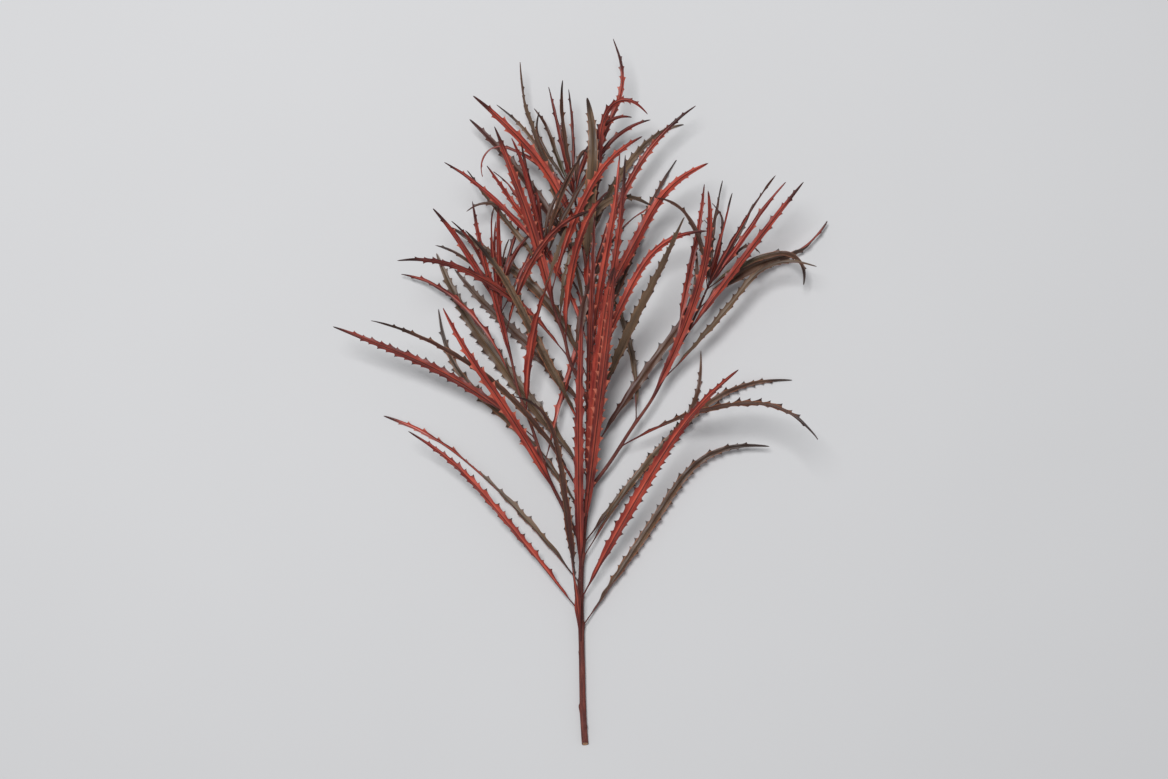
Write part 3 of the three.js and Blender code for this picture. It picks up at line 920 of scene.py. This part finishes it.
class Finish(Nodes):
    """A material in the making: colours laid one over another, each where its masks are 1."""

    def __init__(self, name, colours):
        self.material = bpy.data.materials.new(name)
        self.material.use_nodes = True
        super().__init__(self.material.node_tree)
        self.colours = colours
        self.value = {}

    def effect(self, name, inputs):
        """What a shared node group puts out for the finish's own values."""
        return self.add("ShaderNodeGroup", inputs, node_tree=effect_group(name)).outputs

    def where(self, name, low, high, to_low=0.0, to_high=1.0):
        """A mask that eases over one of the finish's values."""
        return self.ramp(self.value[name], low, high, to_low, to_high)

    def ground(self, mask, first, second):
        self.colour = self.blend(mask, self.colours[first], self.colours[second])

    def lay(self, name, *masks):
        self.colour = self.blend(self.both(*masks), self.colour, self.colours[name])

    def add_patterns(self, place, patch_length, patch_width, lines_each_mm, line_length):
        """The patches and the lines of a surface, and its ground colour from deep to bright."""
        patches = {"Place": place, "Patch length": patch_length, "Patch width": patch_width}
        lines = {"Place": place, "Lines each mm": lines_each_mm, "Line length": line_length}
        self.value["place"] = place
        self.value["patches"] = self.effect("uneven dye", patches)["Patches"]
        self.value["lines"] = self.effect("lengthwise lines", lines)["Lines"]
        self.ground(self.value["patches"], "deep", "bright")

    def close(self, roughness, **bump):
        """Gives the shader its colour, its roughness and, where bump says how, its relief."""
        shader = self.tree.nodes["Principled BSDF"].inputs
        self.give(self.colour, shader["Base Color"])
        self.give(roughness, shader["Roughness"])
        if bump:
            self.give(self.add("ShaderNodeBump", bump).outputs["Normal"], shader["Normal"])
        return self.material


def read_leaf(leaf):
    """What a leaf's mesh says of each point. Gives its place, with the leaf's own seed as its depth."""
    along, across, share = leaf.parts(leaf.read("leaf_place"))
    dye_and_shade, age, seed = leaf.parts(leaf.read("leaf_tint"))
    leaf.value = {
        "edge": leaf.read("leaf_edge", "Fac"), "tooth": leaf.read("leaf_tooth", "Fac"),
        "share": share, "dye_and_shade": dye_and_shade, "age": age, "seed": seed,
    }
    return leaf.place(along, across, leaf.both(seed, SEED_DEPTH))


def close_leaf(leaf, roughness):
    """What both sides of a leaf share: flecks, dark ends, roughness and the relief of its veins."""
    value = leaf.value
    flecks = {"Place": value["place"], "Size": 1.5, "Cover": leaf.where("age", 0.3, 1.0, 0.0, 0.7)}
    leaf.lay("fleck", leaf.effect("dry flecks", flecks)["Flecks"], 0.45)
    dark = leaf.effect("dark ends", {
        "Share": value["share"], "Tooth": value["tooth"], "Age": value["age"], "Seed": value["seed"],
    })
    leaf.lay("tip", dark["Tip"])
    leaf.lay("tip", dark["Points"])
    leaf.lay("base", dark["Stalk"])
    relief = leaf.effect("vein relief", {"Lines": value["lines"], "Edge": value["edge"]})["Height"]
    rough = leaf.where("lines", 0.0, 1.0, roughness - 0.06, roughness + 0.1)
    return leaf.close(rough, Height=relief, Strength=0.45, Distance=0.00012)


def red_side_material(name, colours):
    """The dyed lower side of a leaf: dark midrib between painted highlights, fine lines, pale tooth points.
    """
    leaf = Finish(name, colours)
    leaf.add_patterns(read_leaf(leaf), 38.0, 7.0, 2.6, 26.0)
    # Darker leaves: partly a deeper dye and partly painted shade for the leaves' shadows on one another.
    leaf.lay("dark", leaf.where("dye_and_shade", 0.1, 0.95, 0.0, 0.9), leaf.where("patches", 0.0, 1.0, 1.0, 0.6))
    # Pale bands either side of the midrib: a painted highlight on its raised edges.
    leaf.lay("pale", leaf.where("edge", 0.06, 0.12), leaf.where("edge", 0.46, 0.2), 0.4)
    leaf.lay("line", leaf.value["lines"], 0.46)
    leaf.lay("line", leaf.where("edge", 0.1, 0.05), 0.75)
    leaf.lay("line", leaf.where("edge", 0.86, 1.0), leaf.where("edge", 1.5, 1.1), 0.35)
    leaf.lay("tooth", leaf.where("tooth", 0.05, 0.5), leaf.where("seed", 0.5, 0.35, 0.1, 0.6))
    return close_leaf(leaf, 0.48)


def brown_side_material(name, colours):
    """The upper side of a leaf: brown, with a pale groove, traces of green and often a pale rim."""
    leaf = Finish(name, colours)
    leaf.add_patterns(read_leaf(leaf), 55.0, 9.0, 1.7, 40.0)
    leaf.lay("green", leaf.where("seed", 0.72, 1.0), leaf.where("share", 0.75, 0.15), 0.5)
    # Darker leaves: partly a deeper dye and partly painted shade for the leaves' shadows on one another.
    leaf.lay("dark", leaf.where("dye_and_shade", 0.25, 0.95, 0.0, 0.9), leaf.where("patches", 0.0, 1.0, 1.0, 0.65))
    leaf.lay("line", leaf.value["lines"], 0.3)
    leaf.lay("pale", leaf.where("edge", 0.09, 0.04), 0.5)
    leaf.lay("line", leaf.where("edge", 0.05, 0.1), leaf.where("edge", 0.22, 0.12), 0.35)
    rimmed = leaf.where("age", 0.35, 0.6, 0.1, 0.7)
    leaf.lay("rim", leaf.where("edge", 0.88, 0.97), leaf.where("edge", 1.25, 1.03), rimmed)
    leaf.lay("tooth", leaf.where("tooth", 0.1, 0.6), 0.6)
    return close_leaf(leaf, 0.5)


def bark_material(name, colours):
    """Reddish bark with lengthwise ridges, darker streaks and pale corky dots."""
    bark = Finish(name, colours)
    side, rise, run = bark.parts(bark.read("bark_place"))
    place = bark.place(run, side, rise)
    bark.add_patterns(place, 24.0, 4.0, 1.6, 12.0)
    lines = bark.value["lines"]
    dots = bark.effect("dry flecks", {"Place": place, "Size": 0.8, "Cover": 0.35})["Flecks"]
    bark.lay("line", lines, 0.55)
    bark.lay("cork", dots, 0.6)
    relief = bark.maths("ADD", bark.both(lines, -0.7), bark.both(dots, 0.8))
    rough = bark.where("lines", 0.0, 1.0, 0.6, 0.82)
    return bark.close(rough, Height=relief, Strength=0.7, Distance=0.0003)


def cut_wood_material(name, colours):
    """The cut end: pale wood with faint rays round a darker pith."""
    wood = Finish(name, colours)
    flat = wood.scaled(wood.read("bark_place"), (1.0, 1.0, 0.0))
    rays = wood.noise(flat, Scale=2.2, Detail=4.0)
    rings = wood.add("ShaderNodeTexWave", {
        "Vector": flat, "Scale": 0.9, "Distortion": 1.2, "Detail": 2.0,
    }, wave_type="RINGS", rings_direction="Z").outputs["Fac"]
    out = wood.add("ShaderNodeVectorMath", {0: flat}, operation="LENGTH").outputs["Value"]
    wood.value = {"rays": rays, "out": out}
    wood.ground(wood.where("rays", 0.35, 0.65), "wood", "wood_dark")
    wood.lay("wood_dark", rings, 0.25)
    wood.lay("pith", wood.where("out", 0.85, 0.6))
    return wood.close(wood.where("rays", 0.3, 0.7, 0.75, 0.9), Height=rays, Strength=0.6, Distance=0.0002)


def floor_material(colour):
    """A matt pale surface, very slightly uneven in tone."""
    shade = (*(part * FLOOR_SHADE for part in colour[:3]), 1.0)
    floor = Finish("pale_floor", {"pale": tuple(colour), "shade": shade})
    place = floor.add("ShaderNodeTexCoord").outputs["Object"]
    floor.ground(floor.noise(place, Scale=3.0, Detail=3.0), "pale", "shade")
    return floor.close(0.85)


# The 'dark' colours are partly a deeper dye and partly painted shade for leaves shading one another.
RED_SIDE = {
    # On the lower side 'pale' is a painted highlight beside the midrib.
    "bright": tone(202, 80, 60), "deep": tone(126, 32, 27), "dark": tone(58, 13, 14),
    "pale": tone(218, 108, 82), "line": tone(70, 16, 16), "tooth": tone(222, 124, 98),
    "fleck": tone(84, 46, 34), "tip": tone(34, 14, 12), "base": tone(72, 20, 20),
}
BROWN_SIDE = {
    "bright": tone(116, 92, 70), "deep": tone(70, 53, 41), "dark": tone(72, 24, 21),
    "pale": tone(148, 118, 84), "line": tone(48, 34, 26), "tooth": tone(40, 18, 14),
    "rim": tone(164, 104, 70), "green": tone(68, 82, 40),
    "fleck": tone(44, 30, 24), "tip": tone(32, 16, 13), "base": tone(62, 26, 22),
}
YOUNG_RED = dict(RED_SIDE, bright=tone(158, 46, 37), deep=tone(96, 23, 21), dark=tone(52, 13, 14))
YOUNG_BROWN = dict(BROWN_SIDE, bright=tone(92, 62, 46), deep=tone(60, 36, 28), dark=tone(62, 20, 20))
BARK = {
    "bright": tone(124, 58, 46), "deep": tone(82, 32, 28), "line": tone(48, 18, 16),
    "cork": tone(168, 112, 88), "wood": tone(212, 170, 132), "wood_dark": tone(172, 118, 86),
    "pith": tone(120, 70, 48),
}


def finish_of(name, make, colours):
    """A material by its name, made the first time."""
    return bpy.data.materials.get(name) or make(name, colours)


def leaf_finishes(young):
    """The finish of a leaf's upper side and that of its lower side."""
    kind, brown, red = ("young_leaf", YOUNG_BROWN, YOUNG_RED) if young else ("leaf", BROWN_SIDE, RED_SIDE)
    upper = finish_of(f"{kind}_upper", brown_side_material, brown)
    return [upper, finish_of(f"{kind}_under", red_side_material, red)]


class GrevilleaLeafSizes(bpy.types.PropertyGroup):
    """Sizes of the fine blades."""

    blade_thickness: bpy.props.FloatProperty(
        name="Blade thickness", description="How thick the dry blade is between its veins",
        default=0.00038, min=0.0001, max=0.0008, unit="LENGTH",
    )
    rib_thickness: bpy.props.FloatProperty(
        name="Midrib thickness", description="How thick the blade is at its midrib, near the stalk",
        default=0.0013, min=0.0002, max=0.003, unit="LENGTH",
    )
    stalk_thickness: bpy.props.FloatProperty(
        name="Stalk thickness", description="How thick the stalk is at the first row of the blade",
        default=0.0015, min=0.0004, max=0.003, unit="LENGTH",
    )
    row_pitch: bpy.props.FloatProperty(
        name="Row pitch", description="Distance between the rows of points along a blade",
        default=0.00115, min=0.0005, max=0.005, unit="LENGTH",
    )
    wave_height: bpy.props.FloatProperty(
        name="Wave height", description="How far the margins wave up and down",
        default=0.0007, min=0.0, max=0.003, unit="LENGTH",
    )
    margin_roll: bpy.props.FloatProperty(
        name="Margin roll", description="How far the margins are rolled towards the lower side",
        default=0.0006, min=0.0, max=0.002, unit="LENGTH",
    )
    arch: bpy.props.FloatProperty(
        name="Arch", description="How high each half of the blade arches, as a share of its width",
        default=0.07, min=0.0, max=0.3, subtype="FACTOR",
    )
    small_tooth_share: bpy.props.FloatProperty(
        name="Small teeth", description="Share of the gaps between two teeth that hold a smaller one",
        default=0.95, min=0.0, max=1.0, subtype="FACTOR",
    )


class GrevilleaStageSettings(bpy.types.PropertyGroup):
    """The floor, the light and the camera."""

    floor_colour: bpy.props.FloatVectorProperty(
        name="Floor", description="Colour of the surface that the stem lies on",
        default=(0.6, 0.602, 0.612, 1.0), size=4, min=0.0, max=1.0, subtype="COLOR",
    )
    floor_size: bpy.props.FloatProperty(
        name="Floor size", description="Width of the square floor",
        default=12.0, min=1.0, max=20.0, unit="LENGTH",
    )
    camera_distance: bpy.props.FloatProperty(
        name="Camera distance", description="How far the camera is from the middle of the stem",
        default=2.3, min=0.5, max=6.0, unit="LENGTH",
    )
    camera_elevation: bpy.props.FloatProperty(
        name="Camera elevation", description="How steeply the camera looks down on the stem",
        default=math.radians(86), min=0.1, max=math.pi / 2, subtype="ANGLE",
    )
    seen_height: bpy.props.FloatProperty(
        name="Seen height", description="How much of the floor the picture takes in from foot to top",
        default=0.85, min=0.1, max=3.0, unit="LENGTH",
    )
    key_power: bpy.props.FloatProperty(
        name="Main light", description="Power of the large soft light above the stem",
        default=124.0, min=0.0, max=500.0, unit="POWER",
    )
    sky_strength: bpy.props.FloatProperty(
        name="Room light", description="Strength of the even light all round",
        default=0.33, min=0.0, max=5.0, subtype="FACTOR",
    )


def grown_leaves():
    """Every large leaf as (solid's name, leaf, midrib), in the order of the solids."""
    found = []
    for number, shoot in enumerate(SHOOTS):
        for k in range(SHOOT_FOLIAGE["count"]):
            node = f"{shoot['name']}_leaf_{k + 1}"
            turn = GOLDEN_ANGLE * k + SHOOT_TURN * number
            own = SHOOT_NUMBERS * (number + 1) + k
            kept = kept_leaf(SHOOT_LINES[number], SHOOT_FOLIAGE, k, turn, own, node_points(node))
            found.append((node, *kept))
    for k in range(STEM_FOLIAGE["count"]):
        node = f"leaf_{k + 1:02d}"
        found.append((node, *kept_leaf(STEM, STEM_FOLIAGE, k, GOLDEN_ANGLE * k, k, node_points(node))))
    return found


LARGE_LEAVES = grown_leaves()


def cushions_on(line):
    """Where the large leaves of an axis leave it, as (place, turn)."""
    return [(leaf["at"], leaf["around"]) for _, leaf, _ in LARGE_LEAVES if leaf["line"] is line]


class GREVILLEA_OT_add_woody_stem(bpy.types.Operator):
    """Add the woody stem with its side shoots, leaf cushions and cut end"""

    bl_idname = "grevillea.add_woody_stem"
    bl_label = "Woody stem"

    def execute(self, context):
        bark = finish_of("ridged_bark", bark_material, BARK)
        stem = add_twig("woody_stem", STEM, SCARS + cushions_on(STEM), 0, slant=CUT_SLANT, sides=26)
        stem.data.materials.append(bark)
        stem.data.materials.append(finish_of("cut_wood", cut_wood_material, BARK))
        self.finish_cut(stem)
        twigs = [read_bark(stem)]
        for number, line in enumerate(SHOOT_LINES):
            cushions = cushions_on(line)
            shoot = add_twig(f"shoot_{number}", line, cushions, number + 1, flare=FLARE["height"])
            shoot.data.materials.append(bark)
            twigs.append(read_bark(shoot))
            union = stem.modifiers.new("Union", "BOOLEAN")
            union.operation = "UNION"
            union.solver = "EXACT"
            union.object = shoot
            select_only(stem)
            bpy.ops.object.modifier_apply(modifier=union.name)
            bpy.data.objects.remove(shoot)
        restore_bark(stem, twigs)
        shade_smooth(stem, 48)
        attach(stem, "root")
        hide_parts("stem")
        return {"FINISHED"}

    def finish_cut(self, stem):
        """Sets a rim of bark round the cut wood."""
        select_only(stem)
        bpy.ops.object.mode_set(mode="EDIT")
        bpy.ops.mesh.select_all(action="DESELECT")
        bpy.ops.mesh.select_mode(type="FACE")
        bpy.ops.object.mode_set(mode="OBJECT")
        ends = [face for face in stem.data.polygons if len(face.vertices) > 4]
        foot = min(ends, key=lambda face: face.center.y)
        foot.select = True
        stem.data.polygons.active = foot.index
        bpy.ops.object.mode_set(mode="EDIT")
        bpy.ops.mesh.inset(thickness=CUT_RIM, depth=0.0)
        bpy.ops.mesh.inset(thickness=CUT_STEP[0], depth=CUT_STEP[1])
        stem.active_material_index = 1
        bpy.ops.object.material_slot_assign()
        bpy.ops.mesh.poke()
        bpy.ops.object.mode_set(mode="OBJECT")


class GREVILLEA_OT_add_large_leaves(bpy.types.Operator):
    """Add the long saw-toothed leaves of the stem and of its side shoots"""

    bl_idname = "grevillea.add_large_leaves"
    bl_label = "Large leaves"

    def execute(self, context):
        for node, leaf, stations in LARGE_LEAVES:
            name = node.replace("leaf", "blade")
            piece = add_leaf(name, leaf, stations, False, context.scene.grevillea_leaf)
            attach(piece, "root")
            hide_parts(node)
        return {"FINISHED"}


class GREVILLEA_OT_add_tip_sprays(bpy.types.Operator):
    """Add the bud and the small young leaves at the end of each axis"""

    bl_idname = "grevillea.add_tip_sprays"
    bl_label = "Tip sprays"

    def execute(self, context):
        names = ["tip"] + [shoot["name"] for shoot in SHOOTS]
        for number, (name, line) in enumerate(zip(names, [STEM, *SHOOT_LINES])):
            self.add_spray(name, line, number, context.scene.grevillea_leaf)
        return {"FINISHED"}

    def add_spray(self, name, line, number, sizes):
        node = f"{name}_spray"
        solid = node_points(node)
        bud = bud_line(line)
        leaves = []
        for k in range(SPRAY_FOLIAGE["count"]):
            own = SPRAY_NUMBERS * (number + 1) + k
            leaf, stations = kept_leaf(bud, SPRAY_FOLIAGE, k, GOLDEN_ANGLE * k, own, solid)
            leaves.append(add_leaf(f"young_{number}_{k}", leaf, stations, True, sizes))
        seed = BUD_SEED + number
        twig = add_twig(f"bud_{number}", bud, [], seed, start=BUD_FOOT, pitch=1.0, sides=14)
        for finish in (*leaf_finishes(True), finish_of("ridged_bark", bark_material, BARK)):
            twig.data.materials.append(finish)
        twig.data.polygons.foreach_set("material_index", [2] * len(twig.data.polygons))
        shade_smooth(twig, 50)
        select_only(twig, *leaves)
        bpy.ops.object.join()
        spray = bpy.context.object
        spray.name = f"{name}_young_leaves"
        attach(spray, "root")
        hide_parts(node)


class GREVILLEA_OT_add_stage(bpy.types.Operator):
    """Add the pale floor, the soft light and the camera that looks down on the stem"""

    bl_idname = "grevillea.add_stage"
    bl_label = "Floor, light and camera"

    def execute(self, context):
        settings = context.scene.grevillea_stage
        low, high = CAD_BOX
        middle = (low + high) / 2
        bpy.ops.object.select_all(action="DESELECT")
        bpy.ops.mesh.primitive_plane_add(size=settings.floor_size, location=(0, 0, low.z - FLOOR_GAP))
        floor = context.object
        floor.name = "floor"
        floor.data.materials.append(floor_material(settings.floor_colour))
        self.add_light(context, settings, middle)
        self.add_camera(context, settings, middle)
        context.scene.view_settings.view_transform = "Standard"
        return {"FINISHED"}

    def add_light(self, context, settings, middle):
        bpy.ops.object.light_add(type="AREA", location=LIGHT_PLACE)
        key = context.object
        key.name = "soft_light"
        key.data.shape = "DISK"
        key.data.size = LIGHT_SIZE
        key.data.energy = settings.key_power
        key.rotation_euler = (middle - key.location).to_track_quat("-Z", "Y").to_euler()
        world = bpy.data.worlds.new("room")
        world.use_nodes = True
        background = world.node_tree.nodes["Background"]
        background.inputs["Color"].default_value = ROOM_COLOUR
        background.inputs["Strength"].default_value = settings.sky_strength
        context.scene.world = world

    def add_camera(self, context, settings, middle):
        elevation = settings.camera_elevation
        away = Vector((0, -math.cos(elevation), math.sin(elevation))) * settings.camera_distance
        bpy.ops.object.camera_add(location=middle + away)
        camera = context.object
        camera.name = "camera"
        camera.rotation_euler = (math.pi / 2 - elevation, 0, 0)
        camera.data.sensor_width = SENSOR_WIDTH
        seen_width = settings.seen_height * PICTURE_SHAPE
        camera.data.lens = SENSOR_WIDTH * settings.camera_distance / seen_width
        camera.data.clip_end = SEEN_DEPTH
        context.scene.camera = camera


class GREVILLEA_PT_sidebar(bpy.types.Panel):
    """The stem's pieces and what can be changed on them"""

    bl_idname = "GREVILLEA_PT_sidebar"
    bl_label = "Dried grevillea stem"
    bl_space_type = "VIEW_3D"
    bl_region_type = "UI"
    bl_category = "Grevillea"

    def draw(self, context):
        layout = self.layout
        for operator in PIECE_OPERATORS:
            layout.operator(operator.bl_idname)
        for group in (context.scene.grevillea_leaf, context.scene.grevillea_stage):
            box = layout.box()
            for name in group.bl_rna.properties.keys():
                if name not in ("rna_type", "name"):
                    box.prop(group, name)


PIECE_OPERATORS = (
    GREVILLEA_OT_add_woody_stem,
    GREVILLEA_OT_add_large_leaves,
    GREVILLEA_OT_add_tip_sprays,
    GREVILLEA_OT_add_stage,
)
CLASSES = (GrevilleaLeafSizes, GrevilleaStageSettings, *PIECE_OPERATORS, GREVILLEA_PT_sidebar)


def register():
    for kind in CLASSES:
        bpy.utils.register_class(kind)
    bpy.types.Scene.grevillea_leaf = bpy.props.PointerProperty(type=GrevilleaLeafSizes)
    bpy.types.Scene.grevillea_stage = bpy.props.PointerProperty(type=GrevilleaStageSettings)


def unregister():
    del bpy.types.Scene.grevillea_stage
    del bpy.types.Scene.grevillea_leaf
    for kind in reversed(CLASSES):
        bpy.utils.unregister_class(kind)


def main():
    register()
    bpy.ops.grevillea.add_woody_stem()
    bpy.ops.grevillea.add_large_leaves()
    bpy.ops.grevillea.add_tip_sprays()
    bpy.ops.grevillea.add_stage()


if __name__ == "__main__":
    main()
